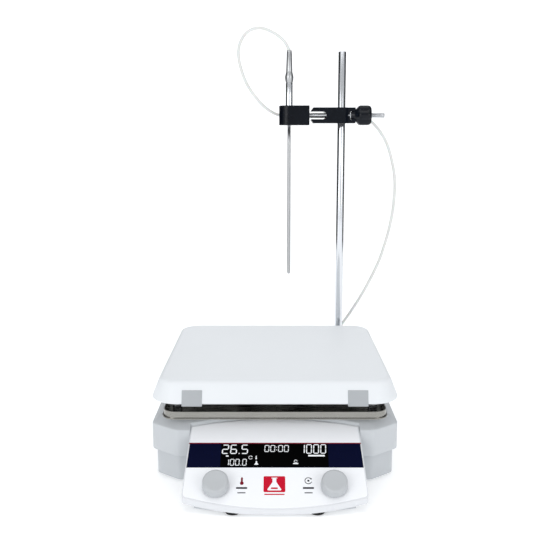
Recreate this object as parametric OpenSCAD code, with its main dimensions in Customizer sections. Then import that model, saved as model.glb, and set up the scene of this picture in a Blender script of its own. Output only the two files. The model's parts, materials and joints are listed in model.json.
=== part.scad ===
// Hotplate stirrer with a support rod, a rod clamp and an immersion probe on a cord.
// The origin is the centre of the plate's top face. +Z points up and -Y points to the front.

/* [Plate] */
// Height of the plate's top face above the worktop
stand_h = 115; // [105:1:125]
// Width of the square plate at its rim
plate_w = 260; // [240:1:262]
// Height of the plate's skirt
skirt_h = 23; // [18:1:26]
// How far the skirt leans in between the rim and the top edge
skirt_lean = 7.5; // [5:0.5:9]
// Radius of the plate's corners at the rim
plate_r = 30; // [25:1:40]
// Thickness of the plate's wall
plate_wall = 5; // [4:0.5:6]

/* [Housing] */
// Width of the upper housing
housing_w = 265; // [262:1:272]
// Where the rear wall stands behind the plate's centre
rear_y = 135; // [130:1:140]
// Height of the seam between the base pan and the upper housing
seam_z = 31; // [28:1:34]
// Height where the shoulder of the upper housing starts
shoulder_z = 60; // [56:1:62]
// Height of the deck on top of the housing
deck_z = 71; // [69:1:71]
// Thickness of the moulded housing walls
wall = 3; // [2:0.5:3.5]
// Height of the base pan's underside, which the feet stand out of
base_z = 3; // [2.5:0.5:4]
// Width of the tray under the plate
tray_w = 236; // [230:1:240]

/* [Console] */
// Slope of the control panel from the level
slope = 34; // [30:1:36]
// Height of the console's rear corners
console_top_z = 62; // [60:0.5:64]
// How far the console's rear corners stand in front of the plate's centre
console_back = 113; // [110:1:116]
// How far the console's front edge stands in front of the plate's centre
console_front = 193; // [188:1:196]
// Width of the console at the front
console_w = 184; // [180:1:190]
// Distance of the two knobs from the middle
knob_x = 58.6; // [50:0.1:64]
// Diameter of the knobs
knob_d = 27; // [22:1:30]
// How far the knobs stand out of the panel
knob_h = 10; // [8:0.5:14]
// How far a knob is pushed to click
push_travel = 0.8; // [0.5:0.1:1]

/* [Rod and clamp] */
// Distance of the support rod to the right of the middle
rod_x = 87; // [80:1:95]
// Distance of the support rod behind the plate's centre
rod_y = 145; // [145:1:150]
// Diameter of the support rod
rod_d = 10; // [8:0.5:10]
// Height of the rod's top above the worktop
rod_top = 472; // [450:1:520]
// Height of the clamp's middle above the worktop
clamp_z = 391; // [360:1:400]
// Diameter of the clamp's threaded stud
stud_d = 6; // [5:0.5:6]
// Diameter of the clamp's knob
clamp_knob_d = 27; // [22:1:30]

/* [Probe] */
// Distance of the probe to the right of the middle
probe_x = 18.5; // [17:0.5:20]
// Diameter of the probe's sheath
sheath_d = 4; // [3:0.5:5]
// Height of the probe's tip above the worktop
tip_z = 181; // [180:1:200]
// Diameter of the probe's handle
handle_d = 9; // [8:0.5:9]
// Diameter of the probe's cord
cord_d = 3.8; // [2:0.2:4]

/* [Hidden] */
$fn = 64;

over = 1;             // how far a cutting shape reaches past what it cuts
run_gap = 0.05;       // radial clearance of a running fit
rim_z = stand_h - skirt_h;
lean_z = stand_h - 4; // where the skirt ends and the rounded top edge starts
stack_top = stand_h - plate_wall;
pan_z = rim_z + 3;    // underside of the pan that closes the plate
lead_xy = [60, 60];   // where the heater's leads go up
sensor_xy = [-70, 10]; // where the plate sensor goes up, between two heater strips
spin_r = 54;          // clear radius round the turning magnets
motor_floor = 16;
motor_h = 32;
bracket_z = motor_floor + motor_h;
post_xy = [48, 40];   // the motor bracket's posts
standoff_xy = [104, 100];
lip_h = 6;            // height of the console cover's lip
film_in = 1.2;        // how far the film stays inside the cover's edge
bucket_w = 166;       // width of the base pan under the console
front_bow = 10;       // how far the console's front edge bows forwards
corner_r = 4;         // size of the console's front corners
floor_z = base_z + 2.5; // top of the base pan's floor
board_z = 12;         // underside of the circuit boards
board_posts = [[-12, 58], [92, 58], [-12, 112], [92, 112], [-94, 58], [-36, 58], [-94, 112], [-36, 112]];
film_h = 0.5;         // thickness of the panel's printed film
band_u = [20.5, 50];  // the display window's run down the slope
knob_u = 71.2;        // the knobs' place down the slope
knob_lift = 1.6;      // gap between a knob and the cover, which takes its travel
shaft_d = 6;
clamp_y = rod_y - 3;  // middle of the clamp from front to back
clamp_t = 24;         // thickness of the clamp from front to back
stud_y = rod_y - 9;
rear_half = [-98, 66]; // the opening in the rear wall, from left to right
rear_span = [14, 56];   // and from bottom to top
inlet_x = -44;
rocker_x = -81;
rocker_z = 36;
port_x = 4;
port_z = 40;
socket_x = 50;
socket_z = 42;

// Round-number points along the cord, above the worktop, from the probe to its plug.
loop_points = [[18.5, 145, 473.5], [12, 146, 485], [-2, 148, 496], [-20, 150, 502],
               [-36, 152, 497], [-46, 154, 482], [-47, 156, 462], [-38, 158, 434],
               [-22, 159, 411], [-6, 160, 397], [12, 161, 391], [50, 161, 390],
               [84, 161, 390], [112, 161, 388]];
upper_points = [[112, 161, 388], [130, 161, 382], [148, 161, 358], [158, 162, 328],
                [162, 162, 300], [160, 162, 265], [155, 163, 236]];
lower_points = [[155, 163, 236], [144, 164, 198], [128, 166, 162], [112, 170, 132],
                [96, 175, 106], [80, 182, 82], [64, 188, 60], [54, 186, 47],
                [50, 180, 42.5], [50, 174, 42]];
upper_joint = [23, 0, -4];  // the cord's direction where the loop meets the upper stretch
lower_joint = [-8, 1, -33]; // and where the upper stretch meets the lower one

// ---- Shared shapes -------------------------------------------------------------------

// Moves a shape from heights above the worktop to heights from the plate's top face.
module stand() {
    translate([0, 0, -stand_h]) children();
}

// Places a shape on the control panel: x across, u down the slope, local z out of it.
module on_panel(x, u, out = 0) {
    translate([x, -console_back - u * cos(slope), console_top_z - u * sin(slope)])
        rotate([slope, 0, 0]) translate([0, 0, out]) children();
}

// A square block with rounded upright edges: half its width, its corner radius, its heights.
module round_slab(half, r, z0, z1) {
    for (x = [-1, 1], y = [-1, 1])
        translate([x * (half - r), y * (half - r), z0]) cylinder(r = r, h = z1 - z0);
    translate([-half, r - half, z0]) cube([2 * half, 2 * (half - r), z1 - z0]);
    translate([r - half, -half, z0]) cube([2 * (half - r), 2 * half, z1 - z0]);
}

// The same block leaning in by lean between its bottom and its top.
module leaning_slab(half, r, z0, z1, lean) {
    core = half - r;
    for (x = [-1, 1], y = [-1, 1])
        translate([x * core, y * core, z0]) cylinder(r1 = r, r2 = r - lean, h = z1 - z0);
    for (turn = [0, 90])
        rotate([0, 0, turn]) translate([0, core, z0]) rotate([90, 0, 0])
            linear_extrude(2 * core)
                polygon([[-half, 0], [half, 0], [half - lean, z1 - z0], [lean - half, z1 - z0]]);
}

// A ring: outer radius, inner radius and height.
module ring(r, bore, h) {
    difference() {
        cylinder(r = r, h = h);
        translate([0, 0, -over]) cylinder(r = bore, h = h + 2 * over);
    }
}

// Unit vector from one point to another.
function toward(a, b) = (b - a) / norm(b - a);

// The outline moved in by d, for a convex list of corners.
function inset(pts, d) = [
    for (i = [0 : len(pts) - 1])
        let (p = pts[i],
             u = toward(p, pts[(i + len(pts) - 1) % len(pts)]),
             v = toward(p, pts[(i + 1) % len(pts)]))
            p + toward([0, 0], u + v) * d / sqrt((1 - u * v) / 2)];

// The outline with each corner rounded to about radius r, by six steps of a parabola.
function rounded(pts, r) = [
    for (i = [0 : len(pts) - 1])
        let (p = pts[i],
             u = toward(p, pts[(i + len(pts) - 1) % len(pts)]),
             v = toward(p, pts[(i + 1) % len(pts)]),
             t = r * sqrt((1 + u * v) / (1 - u * v)))
            for (s = [0 : 1 / 6 : 1])
                p + u * t * pow(1 - s, 2) + v * t * pow(s, 2)];

// Plan of the housing, with chamfered front corners, moved in by d.
function housing_plan(d) =
    let (w = housing_w / 2,
         half = [[104, -119], [w, -97], [w, rear_y - 22], [w - 22, rear_y]],
         other = [for (i = [3 : -1 : 0]) [-half[i][0], half[i][1]]])
        rounded(inset(concat(half, other), d), 12 - d / 2);

// Plan of the console, moved in by d: a bowed front edge between two small corners at half the width w.
function console_plan(d, w) =
    let (a = w / 2 - d, b = w / 2 - 3.5 - d, r = corner_r, y = d - console_front)
        concat(
            [for (s = [1 : -0.25 : 0.25])
                [r * pow(1 - s, 2) - a, y + front_bow + r * pow(s, 2)]],
            [for (t = [-1 : 0.1 : 1]) [(a - r) * t, y + front_bow * t * t]],
            [for (s = [0.25 : 0.25 : 1])
                [a - r * pow(1 - s, 2), y + front_bow + r * pow(s, 2)]],
            [for (t = [1 : -0.2 : -1])
                [b * t, 8 - console_back - d - 8 * t * t]]);

// Everything below the panel's plane lowered by drop, within the console's reach.
module under_panel(drop) {
    reach = 100;
    translate([-reach, 0, 0]) rotate([90, 0, 90]) linear_extrude(2 * reach)
        polygon([[-console_front - over, -reach], [over - 100, -reach],
                 [over - 100, console_top_z + (console_back + over - 100) * tan(slope) - drop],
                 [-console_front - over,
                  console_top_z + (console_back - console_front - over) * tan(slope) - drop]]);
}

// ---- A cord's tube -------------------------------------------------------------------

// Point at t from 0 to 1 between p1 and p2 on the smooth curve that also minds p0 and p3.
function smooth(p0, p1, p2, p3, t) =
    0.5 * (2 * p1 + (p2 - p0) * t + (2 * p0 - 5 * p1 + 4 * p2 - p3) * t * t
           + (3 * p1 - p0 - 3 * p2 + p3) * t * t * t);

// Points along the smooth curve through pts, about one each step.
function along(pts, step) =
    let (n = len(pts) - 1)
        concat(
            [for (i = [0 : n - 1])
                let (p0 = pts[max(i - 1, 0)], p1 = pts[i], p2 = pts[i + 1], p3 = pts[min(i + 2, n)],
                     m = max(1, round(norm(p2 - p1) / step)))
                    for (k = [0 : m - 1]) smooth(p0, p1, p2, p3, k / m)],
            [pts[n]]);

// An eight-sided ring of radius r round p, square to the direction d.
function ring_points(p, d, r) =
    let (u = toward([0, 0, 0], cross(d, [0.3, 1, 0.2])), v = cross(d, u))
        [for (a = [0 : 45 : 315]) p + r * (cos(a) * u + sin(a) * v)];

// A tube of diameter d along pts. Its end faces are square to the directions first and last.
module cord_tube(pts, d, first, last) {
    line = along(pts, 10);
    n = len(line) - 1;
    rings = [for (i = [0 : n])
        ring_points(line[i], i == 0 ? first : i == n ? last : toward(line[i - 1], line[i + 1]), d / 2)];
    points = [for (r = rings) each r];
    sides = [for (i = [0 : n - 1], k = [0 : 7])
        [i * 8 + k, i * 8 + (k + 1) % 8, (i + 1) * 8 + (k + 1) % 8, (i + 1) * 8 + k]];
    caps = [[for (k = [7 : -1 : 0]) k], [for (k = [0 : 7]) n * 8 + k]];
    polyhedron(points, concat(sides, caps));
}

// ---- Plate and heater ----------------------------------------------------------------

module ceramic_plate() {
    half = plate_w / 2;
    edge = 3.5; // how far the rounded top edge leans in
    color("ghostwhite") stand() difference() {
        union() {
            leaning_slab(half, plate_r, rim_z, lean_z, skirt_lean);
            leaning_slab(half - skirt_lean, plate_r - skirt_lean, lean_z, stand_h, edge);
        }
        leaning_slab(half - plate_wall, plate_r - plate_wall, rim_z - over, stack_top, skirt_lean);
    }
}

module plate_clips() {
    half = plate_w / 2;
    t = 1.5;
    reach = 14;
    lean = skirt_lean / (lean_z - rim_z);
    color("silver") stand()
        for (turn = [0, 180], x = [-85.6, 85.6])
            rotate([0, 0, turn]) translate([x - 10.5, 0, 0]) rotate([90, 0, 90]) linear_extrude(21)
                polygon([[-half - t, rim_z - t], [reach - half, rim_z - t], [reach - half, pan_z],
                         [reach - half - t, pan_z], [reach - half - t, rim_z], [-half, rim_z],
                         [lean * reach - half, rim_z + reach], [lean * reach - half - t, rim_z + reach]]);
}

// The stack inside the plate: heater, insulation and pan share their two lead holes.
module stack_layer(half, z0, z1) {
    difference() {
        round_slab(half, 20, z0, z1);
        translate([lead_xy[0], lead_xy[1], z0 - over]) cylinder(r = 9, h = z1 - z0 + 2 * over);
        translate([sensor_xy[0], sensor_xy[1], z0 - over]) cylinder(r = 4, h = z1 - z0 + 2 * over);
    }
}

module heater_element() {
    run = 200;
    pitch = 20;
    strip = 9;
    color("dimgray") stand() translate([-run / 2, -run / 2, stack_top - 2]) {
        for (i = [0 : 10])
            translate([0, i * pitch - strip / 2, 0]) cube([run, strip, 2]);
        for (i = [0 : 9])
            translate([i % 2 == 0 ? run - strip : 0, i * pitch, 0]) cube([strip, pitch, 2]);
    }
}

module insulation_board() {
    color("floralwhite") stand() stack_layer(114, pan_z + 2, stack_top - 2);
}

module heater_pan() {
    color("lightgray") stand() stack_layer(116, pan_z, pan_z + 2);
}

module plate_sensor() {
    color("gainsboro") stand() translate([sensor_xy[0], sensor_xy[1], 0]) {
        translate([0, 0, deck_z]) cylinder(r = 3.4, h = 8);
        translate([0, 0, deck_z + 8]) cylinder(r = 2, h = stack_top - 2 - deck_z - 8);
    }
}

module heat_tray() {
    half = tray_w / 2;
    floor_z = deck_z + 1;
    color("silver") stand() difference() {
        union() {
            round_slab(half, 14, floor_z, floor_z + 8);
            round_slab(half + 1.6, 15.6, floor_z, floor_z + 1.2);
        }
        round_slab(half - 1.2, 12.8, floor_z + 1.2, floor_z + 9);
        translate([0, 0, floor_z - over]) cylinder(r = spin_r, h = 4);
        translate([lead_xy[0], lead_xy[1], floor_z - over]) cylinder(r = 9, h = 4);
        translate([sensor_xy[0], sensor_xy[1], floor_z - over]) cylinder(r = 4, h = 4);
        for (x = [-1, 1], y = [-1, 1])
            translate([x * standoff_xy[0], y * standoff_xy[1], floor_z - over])
                cylinder(r = 5.2, h = 4);
    }
}

module tray_standoffs() {
    color("silver") stand()
        for (x = [-1, 1], y = [-1, 1])
            translate([x * standoff_xy[0], y * standoff_xy[1], deck_z]) {
                cylinder(r = 8, h = 1);
                cylinder(r = 5, h = pan_z - deck_z);
            }
}

// ---- Housing -------------------------------------------------------------------------

module rear_opening(z0, z1) {
    translate([rear_half[0], rear_y - 10, z0]) cube([rear_half[1] - rear_half[0], 20, z1 - z0]);
}

module housing_solid(d, z0, z1, z2) {
    hull() {
        translate([0, 0, z0]) linear_extrude(z1 - z0) polygon(housing_plan(d));
        translate([0, 0, z2 - 0.01]) linear_extrude(0.01) polygon(housing_plan(d + 13));
    }
}

module upper_housing() {
    color("gainsboro") stand() difference() {
        housing_solid(0, seam_z, shoulder_z, deck_z);
        housing_solid(wall, seam_z - over, shoulder_z - 1.5, deck_z - wall);
        translate([0, 0, seam_z - over]) linear_extrude(deck_z)
            polygon(console_plan(-0.3, console_w));
        translate([0, 0, deck_z - wall - over]) cylinder(r = spin_r, h = wall + 2 * over);
        translate([lead_xy[0], lead_xy[1], deck_z - wall - over]) cylinder(r = 9, h = wall + 2 * over);
        rear_opening(seam_z - over, rear_span[1]);
    }
}

module base_pan() {
    color("lightgray") stand() difference() {
        union() {
            translate([0, 0, base_z]) linear_extrude(seam_z - base_z) polygon(housing_plan(4.5));
            intersection() {
                translate([0, 0, base_z]) linear_extrude(60) polygon(console_plan(2.5, bucket_w));
                under_panel(lip_h + 0.05);
            }
        }
        difference() {
            translate([0, 0, floor_z]) linear_extrude(seam_z) polygon(housing_plan(wall + 4.5));
            for (p = board_posts)
                translate([p[0], p[1], 0]) cylinder(r = 3.5, h = board_z);
        }
        translate([0, 0, floor_z]) linear_extrude(60) polygon(console_plan(2.5 + wall, bucket_w));
        translate([-70, -125, floor_z]) cube([140, 20, seam_z]);
        rear_opening(rear_span[0], seam_z + over);
    }
}

module feet() {
    color("black") stand()
        for (p = [[-41.5, -182], [41.5, -182], [-105, 100], [105, 100]])
            translate([p[0], p[1], 0]) cylinder(r = 7.5, h = base_z);
}

module housing_screws() {
    color("silver") stand() {
        for (x = [-110, 110], y = [-85, 0, 80])
            translate([x, y, base_z - 1.6]) cylinder(r = 3.5, h = 1.6);
        for (x = [rear_half[0] - 3.5, rear_half[1] + 1.5], z = [rear_span[0] + 6, rear_span[1] - 6])
            translate([x, rear_y + 1.2, z]) rotate([-90, 0, 0]) cylinder(r = 2, h = 1.4);
    }
}

// ---- Console -------------------------------------------------------------------------

module window_cut(w, h, depth) {
    on_panel(0, (band_u[0] + band_u[1]) / 2) cube([w, h, depth], center = true);
}

module console_cover() {
    color("whitesmoke") stand() difference() {
        intersection() {
            translate([0, 0, base_z]) linear_extrude(80) polygon(console_plan(0, console_w));
            under_panel(0);
        }
        under_panel(lip_h);
        intersection() {
            linear_extrude(80) polygon(console_plan(2.5, console_w));
            under_panel(3);
        }
        window_cut(112, 27.5, 20);
        for (x = [-knob_x, knob_x])
            on_panel(x, knob_u, -10) cylinder(r = 3.6, h = 20);
    }
}

module film() {
    difference() {
        intersection() {
            linear_extrude(80) polygon(console_plan(film_in, console_w));
            under_panel(-film_h);
        }
        under_panel(0);
    }
}

module panel_overlay() {
    color("white") stand() difference() {
        film();
        window_cut(200, band_u[1] - band_u[0], 10);
        for (x = [-knob_x, knob_x])
            on_panel(x, knob_u, -10) cylinder(r = 4, h = 20);
    }
}

module display_window() {
    color("midnightblue") stand() intersection() {
        film();
        window_cut(200, band_u[1] - band_u[0], 10);
    }
}

module lcd_module() {
    mid = (band_u[0] + band_u[1]) / 2;
    color("black") stand() {
        on_panel(0, mid, -3.2) cube([110, 26, 6.2], center = true);
        on_panel(0, mid, -4.6) cube([118, 34, 3.4], center = true);
    }
}

module display_board() {
    color("seagreen") stand() on_panel(0, 48, -11.2) cube([134, 60, 1.6], center = true);
}

// A rotary encoder that also clicks when pushed, without the parts that move.
module encoder(x) {
    bush = 3.5;
    color("darkgray") stand() on_panel(x, knob_u, -10.4) difference() {
        union() {
            translate([-6, -6, 0]) cube([12, 12, 6.5]);
            cylinder(r = bush, h = 14.4);
        }
        translate([0, 0, 1]) cylinder(r = shaft_d / 2 + 0.3, h = 4);
        translate([0, 0, 4]) cylinder(r = shaft_d / 2 + run_gap, h = 12);
    }
}

module encoder_plunger(x) {
    color("ivory") stand() on_panel(x, knob_u, -8.4) cylinder(r = 2.5, h = 2.4);
}

module encoder_shaft(x) {
    color("silver") stand() on_panel(x, knob_u, -6) cylinder(r = shaft_d / 2, h = 15);
}

module panel_knob(x) {
    r = knob_d / 2;
    top = knob_lift + knob_h;
    color("silver") stand() on_panel(x, knob_u) rotate_extrude()
        polygon([[4.6, knob_lift], [r - 0.8, knob_lift], [r, knob_lift + 0.8], [r - 0.4, top - 2],
                 [r - 1, top - 0.8], [r - 2.4, top], [0, top], [0, 9.1],
                 [shaft_d / 2 + 0.02, 9.1], [shaft_d / 2 + 0.02, 5], [4.6, 5]]);
}

module temp_encoder() { encoder(-knob_x); }
module temp_plunger() { encoder_plunger(-knob_x); }
module temp_shaft() { encoder_shaft(-knob_x); }
module temp_knob() { panel_knob(-knob_x); }
module speed_encoder() { encoder(knob_x); }
module speed_plunger() { encoder_plunger(knob_x); }
module speed_shaft() { encoder_shaft(knob_x); }
module speed_knob() { panel_knob(knob_x); }

// ---- Stirring drive ------------------------------------------------------------------

module motor_can() {
    color("darkgray") stand() translate([0, 0, motor_floor]) difference() {
        cylinder(r = 28, h = motor_h);
        translate([0, 0, 5]) cylinder(r = 25, h = motor_h - 10);
        translate([0, 0, -over]) cylinder(r = 8, h = motor_h + 2 * over);
    }
}

module motor_stator() {
    slots = 9;
    color("peru") stand() translate([0, 0, motor_floor + 8]) difference() {
        ring(24.9, 14, 16);
        for (i = [0 : slots - 1])
            rotate([0, 0, i * 360 / slots]) translate([18, -1.5, -over]) cube([5, 3, 16 + 2 * over]);
    }
}

module motor_rotor() {
    color("slategray") stand() translate([0, 0, motor_floor + 8])
        ring(13.5, shaft_d / 2 + 0.02, 16);
}

module motor_shaft() {
    color("silver") stand() translate([0, 0, motor_floor + 1])
        cylinder(r = shaft_d / 2, h = deck_z + 10 - motor_floor - 1);
}

module motor_bearings() {
    color("lightsteelblue") stand()
        for (z = [motor_floor, bracket_z - 5])
            translate([0, 0, z]) ring(7.98, shaft_d / 2 + run_gap, 5);
}

module motor_bracket() {
    color("silver") stand() {
        difference() {
            translate([-56, -48, bracket_z]) cube([112, 96, 2]);
            translate([0, 0, bracket_z - over]) cylinder(r = 9, h = 4);
            for (turn = [45 : 90 : 315])
                rotate([0, 0, turn]) translate([20, 0, bracket_z - over]) cylinder(r = 1.8, h = 4);
        }
        for (x = [-1, 1], y = [-1, 1])
            translate([x * post_xy[0], y * post_xy[1], floor_z]) cylinder(r = 4, h = bracket_z - floor_z);
    }
}

module motor_screws() {
    color("dimgray") stand()
        for (turn = [45 : 90 : 315])
            rotate([0, 0, turn]) translate([20, 0, bracket_z]) {
                cylinder(r = 1.6, h = 2.5);
                translate([0, 0, 2]) cylinder(r = 3, h = 2);
            }
}

module magnet_yoke() {
    color("slategray") stand() difference() {
        union() {
            translate([-46, -13, deck_z + 6]) cube([92, 26, 4]);
            translate([0, 0, deck_z - 6]) cylinder(r = 9, h = 12);
        }
        translate([0, 0, deck_z - 7]) cylinder(r = shaft_d / 2 + 0.02, h = 20);
    }
}

module drive_magnets() {
    color("dimgray") stand()
        for (x = [-44, 22])
            translate([x, -13, deck_z + 10]) cube([22, 26, 9]);
}

// ---- Electronics ---------------------------------------------------------------------

module main_board() {
    color("seagreen") stand() translate([0, 0, board_z]) {
        translate([-18, 52, 0]) cube([116, 66, 1.6]);
        for (i = [0 : 3])
            translate([-6 + i * 16, 92, 0]) cube([10, 10, 3]);
        translate([72, 66, 0]) cube([22, 8, 16]);
        for (i = [0 : 5])
            translate([72 + i * 4, 66, 4]) cube([1.2, 20, 12]);
        translate([72, 74, 0]) cube([22, 6, 6]);
    }
}

module power_board() {
    color("seagreen") stand() translate([0, 0, board_z]) {
        translate([-100, 52, 0]) cube([70, 66, 1.6]);
        translate([-92, 60, 0]) cube([34, 30, 26]);
        for (i = [0 : 2])
            translate([-48, 66 + i * 14, 0]) cylinder(r = 5.5, h = 20);
    }
}

module heater_leads() {
    color("wheat") stand()
        for (x = [-4, 4])
            translate([lead_xy[0] + x, lead_xy[1], board_z + 1.6])
                cylinder(r = 1.5, h = stack_top - 2 - board_z - 1.6);
}

// ---- Rear side -----------------------------------------------------------------------

// A block on the rear wall: its middle, width, height, and where it starts and ends.
module rear_block(x, z, w, h, y0, y1) {
    translate([x - w / 2, y0, z - h / 2]) cube([w, y1 - y0, h]);
}

// A round piece on the rear wall, pointing to the rear.
module rear_pin(x, z, r, y0, y1) {
    translate([x, y0, z]) rotate([-90, 0, 0]) cylinder(r = r, h = y1 - y0);
}

module rear_plate() {
    color("darkgray") stand() difference() {
        translate([rear_half[0] - 5, rear_y, rear_span[0] - 4])
            cube([rear_half[1] - rear_half[0] + 10, 1.2, rear_span[1] - rear_span[0] + 8]);
        rear_block(inlet_x, 36, 28.4, 28.4, rear_y - over, rear_y + 3);
        rear_block(rocker_x, rocker_z, 15.4, 23.4, rear_y - over, rear_y + 3);
        rear_block(port_x, port_z, 20.4, 10.4, rear_y - over, rear_y + 3);
        rear_pin(socket_x, socket_z, 6.3, rear_y - over, rear_y + 3);
    }
}

module mains_inlet() {
    face = rear_y + 1.2;
    color("black") stand() {
        difference() {
            union() {
                rear_block(inlet_x, 36, 28, 28, 115, face);
                rear_block(inlet_x, 36, 32, 32, face, face + 2.5);
            }
            rear_block(inlet_x, 40.5, 24, 16, face - 14, face + 4);
            rear_block(inlet_x, 27, 24.4, 8.4, 118, face + 4);
        }
        for (p = [[-7, 39], [7, 39], [0, 43]])
            rear_block(inlet_x + p[0], p[1], 2, 4, face - 14, face - 5);
    }
}

module fuse_drawer() {
    color("dimgray") stand() difference() {
        union() {
            rear_block(inlet_x, 27, 24, 8, 120, rear_y + 3.9);
            rear_block(inlet_x, 30, 10, 2, rear_y + 3.9, rear_y + 5.4);
        }
        for (y = [124, 131])
            translate([inlet_x - 10.2, y, 27]) {
                rotate([0, 90, 0]) cylinder(r = 2.6, h = 20.4);
                translate([0, -2.6, 0]) cube([20.4, 5.2, 5]);
            }
    }
}

module fuses() {
    color("lightcyan") stand()
        for (y = [124, 131])
            translate([inlet_x - 10, y, 27]) rotate([0, 90, 0]) cylinder(r = 2.5, h = 20);
}

module switch_frame() {
    face = rear_y + 1.2;
    color("black") stand() difference() {
        union() {
            rear_block(rocker_x, rocker_z, 15, 23, 122, face);
            rear_block(rocker_x, rocker_z, 18, 26, face, face + 2);
        }
        rear_block(rocker_x, rocker_z, 12, 21, 125, face + 4);
        translate([rocker_x - 7, rear_y, rocker_z]) rotate([0, 90, 0]) cylinder(r = 1 + run_gap, h = 14);
    }
}

module power_rocker() {
    half_travel = 8;
    color("darkslategray") stand() translate([rocker_x, rear_y, rocker_z]) {
        rotate([half_travel, 0, 0]) translate([-5.8, 0, 0]) rotate([90, 0, 90]) linear_extrude(11.6)
            polygon([[-5, -4], [0, -9.4], [4, -9.4], [2.6, 0], [4, 9.4], [0, 9.4], [-5, 4]]);
        translate([-6.8, 0, 0]) rotate([0, 90, 0]) cylinder(r = 1, h = 13.6);
    }
}

module data_port() {
    face = rear_y + 1.2;
    color("silver") stand() {
        difference() {
            union() {
                rear_block(port_x, port_z, 20, 10, 124, face);
                rear_block(port_x, port_z, 31, 12.5, face, face + 1);
                rear_block(port_x, port_z, 17, 9, face, face + 6);
            }
            rear_block(port_x, port_z, 15.4, 7.4, face + 0.5, face + 8);
        }
        for (x = [-12.5, 12.5])
            translate([port_x + x, face + 1, port_z]) rotate([-90, 0, 0]) cylinder(r = 2.6, h = 4, $fn = 6);
    }
}

module probe_socket() {
    face = rear_y + 1.2;
    color("silver") stand() difference() {
        union() {
            rear_pin(socket_x, socket_z, 6.2, 126, face);
            rear_pin(socket_x, socket_z, 8, face, face + 1.8);
        }
        rear_pin(socket_x, socket_z, 4 + run_gap, 128, face + 4);
    }
}

// ---- Rod and clamp -------------------------------------------------------------------

module rod_holder() {
    color("darkgray") stand() difference() {
        union() {
            translate([rod_x, rod_y, 34]) cylinder(r = 13, h = 40);
            translate([rod_x - 13, rear_y, 34]) cube([26, rod_y - rear_y, 24]);
        }
        translate([rod_x - 14, rear_y - 20, 33]) cube([28, 20, 42]);
        translate([rod_x, rod_y, 37]) cylinder(r = rod_d / 2 + run_gap, h = 40);
    }
}

module support_rod() {
    tip = 0.8;
    color("silver") stand() translate([rod_x, rod_y, 0]) {
        translate([0, 0, 37.1]) cylinder(r = rod_d / 2, h = rod_top - 37.1 - tip);
        translate([0, 0, rod_top - tip]) cylinder(r1 = rod_d / 2, r2 = rod_d / 2 - tip, h = tip);
    }
}

// A hole along X for the stud.
module stud_hole(x0, x1, r) {
    translate([x0, stud_y, clamp_z]) rotate([0, 90, 0]) cylinder(r = r, h = x1 - x0);
}

module rod_jaw() {
    left = rod_x - 40.3;
    right = rod_x + 17.4;
    ear = rod_x + 10;
    front = clamp_y - clamp_t / 2;
    back = clamp_y + clamp_t / 2;
    color("darkslategray") stand() difference() {
        intersection() {
            translate([0, back, clamp_z]) rotate([90, 0, 0]) linear_extrude(clamp_t)
                polygon([[left, -6], [left + 3, -10], [right, -10], [right, 10],
                         [left + 3, 10], [left, 6]]);
            translate([0, 0, clamp_z - 12]) linear_extrude(24)
                polygon([[left, front], [rod_x + 4, front], [rod_x + 8, front + 3], [right, front + 3],
                         [right, back - 3], [rod_x + 8, back - 3], [rod_x + 4, back], [left, back]]);
        }
        translate([rod_x, rod_y, clamp_z - 12]) cylinder(r = rod_d / 2 + run_gap, h = 24);
        translate([left - over, front - over, clamp_z - 5]) cube([16, clamp_t + 2 * over, 10]);
        translate([left + 15, front - over, clamp_z]) rotate([-90, 0, 0])
            cylinder(r = 5, h = clamp_t + 2 * over);
        translate([ear, front, clamp_z - 5]) cube([10, clamp_t, 10]);
        stud_hole(left, ear + over, stud_d / 2 + 0.1);
    }
}

module probe_jaw() {
    round_r = 13.1;
    right = rod_x - 42.4;
    front = clamp_y - clamp_t / 2;
    color("darkslategray") stand() difference() {
        translate([0, 0, clamp_z - 12.5]) union() {
            translate([probe_x, front + round_r, 0]) cylinder(r = round_r, h = 25);
            translate([probe_x, front, 0]) cube([right - probe_x, 2 * round_r, 25]);
        }
        translate([probe_x, rod_y, clamp_z - 14]) cylinder(r = handle_d / 2 + run_gap, h = 28);
        translate([probe_x - 1, rod_y + 2, clamp_z - 14]) cube([2, 12, 28]);
        stud_hole(26, right + over, stud_d / 2 + 0.02);
    }
}

module clamp_stud() {
    color("silver") stand() stud_hole(26, 142, stud_d / 2);
}

module clamp_washer() {
    x0 = rod_x + 10.05;
    color("silver") stand() difference() {
        stud_hole(x0, x0 + 1.2, 4.9);
        stud_hole(x0 - over, x0 + 3, stud_d / 2 + 0.08);
    }
}

module clamp_knob() {
    hub = rod_x + 11.3;
    head = rod_x + 19;
    head_l = 19;
    lobes = 6;
    lobe_r = 4;
    core_r = clamp_knob_d / 2 - 2.5;
    color("darkslategray") stand() difference() {
        union() {
            stud_hole(hub, head + 2, 4.8);
            translate([head, stud_y, clamp_z]) rotate([0, 90, 0]) {
                cylinder(r1 = core_r - 3, r2 = core_r, h = 4);
                translate([0, 0, 4]) cylinder(r = core_r, h = head_l - 7);
                translate([0, 0, head_l - 3]) cylinder(r1 = core_r, r2 = core_r - 3, h = 3);
                for (i = [0 : lobes - 1])
                    rotate([0, 0, i * 360 / lobes])
                        translate([clamp_knob_d / 2 - lobe_r, 0, 3]) cylinder(r = lobe_r, h = head_l - 5);
            }
        }
        stud_hole(hub - over, head + head_l + over, stud_d / 2 + 0.08);
    }
}

// ---- Probe ---------------------------------------------------------------------------

module probe_sheath() {
    r = sheath_d / 2;
    color("silver") stand() translate([probe_x, rod_y, tip_z + r]) {
        sphere(r = r);
        cylinder(r = r, h = clamp_z - 11.5 - tip_z - r);
    }
}

module probe_handle() {
    color("silver") stand() translate([probe_x, rod_y, clamp_z - 11.5])
        cylinder(r = handle_d / 2, h = 53.5);
}

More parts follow.
